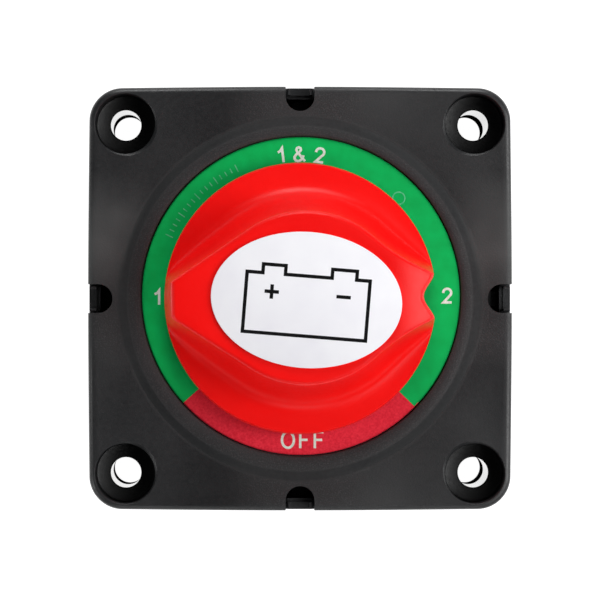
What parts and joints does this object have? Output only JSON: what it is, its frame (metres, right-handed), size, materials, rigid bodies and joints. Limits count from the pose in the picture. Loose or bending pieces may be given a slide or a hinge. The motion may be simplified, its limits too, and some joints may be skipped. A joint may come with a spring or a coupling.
{
  "type": "battery selector switch",
  "caption": "Square surface-mount battery selector switch with a rotary knob, a contact chamber and threaded terminals behind removable cable-entry covers.",
  "frame": {"origin": "centre of the square back face, on the surface that the switch is mounted on", "axes": "+Z out of the face along the knob's axis, +X towards position 2, +Y towards position 1 & 2"},
  "size_m": [0.069, 0.069, 0.076],
  "materials": {
    "black_plastic": "fine moulded grain",
    "dial_print": "printed, satin",
    "red_plastic": "satin gloss",
    "white_vinyl": "printed sticker",
    "nylon": "natural",
    "phenolic": "moulded",
    "rubber": "matte",
    "copper": "bright copper",
    "tinned_copper": "tin plated",
    "spring_steel": "bright",
    "stainless_steel": "bright"
  },
  "bodies": {
    "case": {"housing": "black_plastic", "back_cover": "black_plastic", "side_cover_right": "black_plastic", "side_cover_top": "black_plastic", "side_cover_left": "black_plastic", "side_cover_bottom": "black_plastic", "dial_label": "dial_print", "detent_leaf_top": "spring_steel", "detent_leaf_bottom": "spring_steel", "contact_base": "phenolic", "common_bar": "copper", "base_gasket": "rubber", "base_screw_1": "stainless_steel", "base_screw_2": "stainless_steel", "base_screw_3": "stainless_steel", "base_screw_4": "stainless_steel", "terminal_stud_1": "tinned_copper", "terminal_stud_2": "tinned_copper", "terminal_stud_common": "tinned_copper", "flat_washer_1": "stainless_steel", "flat_washer_2": "stainless_steel", "flat_washer_common": "stainless_steel", "lock_washer_1": "stainless_steel", "lock_washer_2": "stainless_steel", "lock_washer_common": "stainless_steel", "terminal_nut_1": "stainless_steel", "terminal_nut_2": "stainless_steel", "terminal_nut_common": "stainless_steel"},
    "knob_and_rotor": {"knob": "red_plastic", "knob_label": "white_vinyl", "knob_screw": "stainless_steel", "rotor": "nylon", "shaft_seal": "rubber", "contact_spring_1": "spring_steel", "contact_spring_2": "spring_steel", "contact_spring_3": "spring_steel"},
    "contact_bridge": {"contact_plate": "copper"}
  },
  "joints": [
    {"name": "knob_turn", "type": "hinge", "parent": "case", "child": "knob_and_rotor", "pos_m": [0, 0, 0.056], "axis": [0, 0, 1], "continuous": true, "deforming": ["detent_leaf_top", "detent_leaf_bottom"]},
    {"name": "contact_float", "type": "slide", "parent": "knob_and_rotor", "child": "contact_bridge", "axis": [0, 0, 1], "range_m": [0, 0.0006], "stiffness_N_per_m": 1500, "springref_m": -0.004, "deforming": ["contact_spring_1", "contact_spring_2", "contact_spring_3"]}
  ]
}
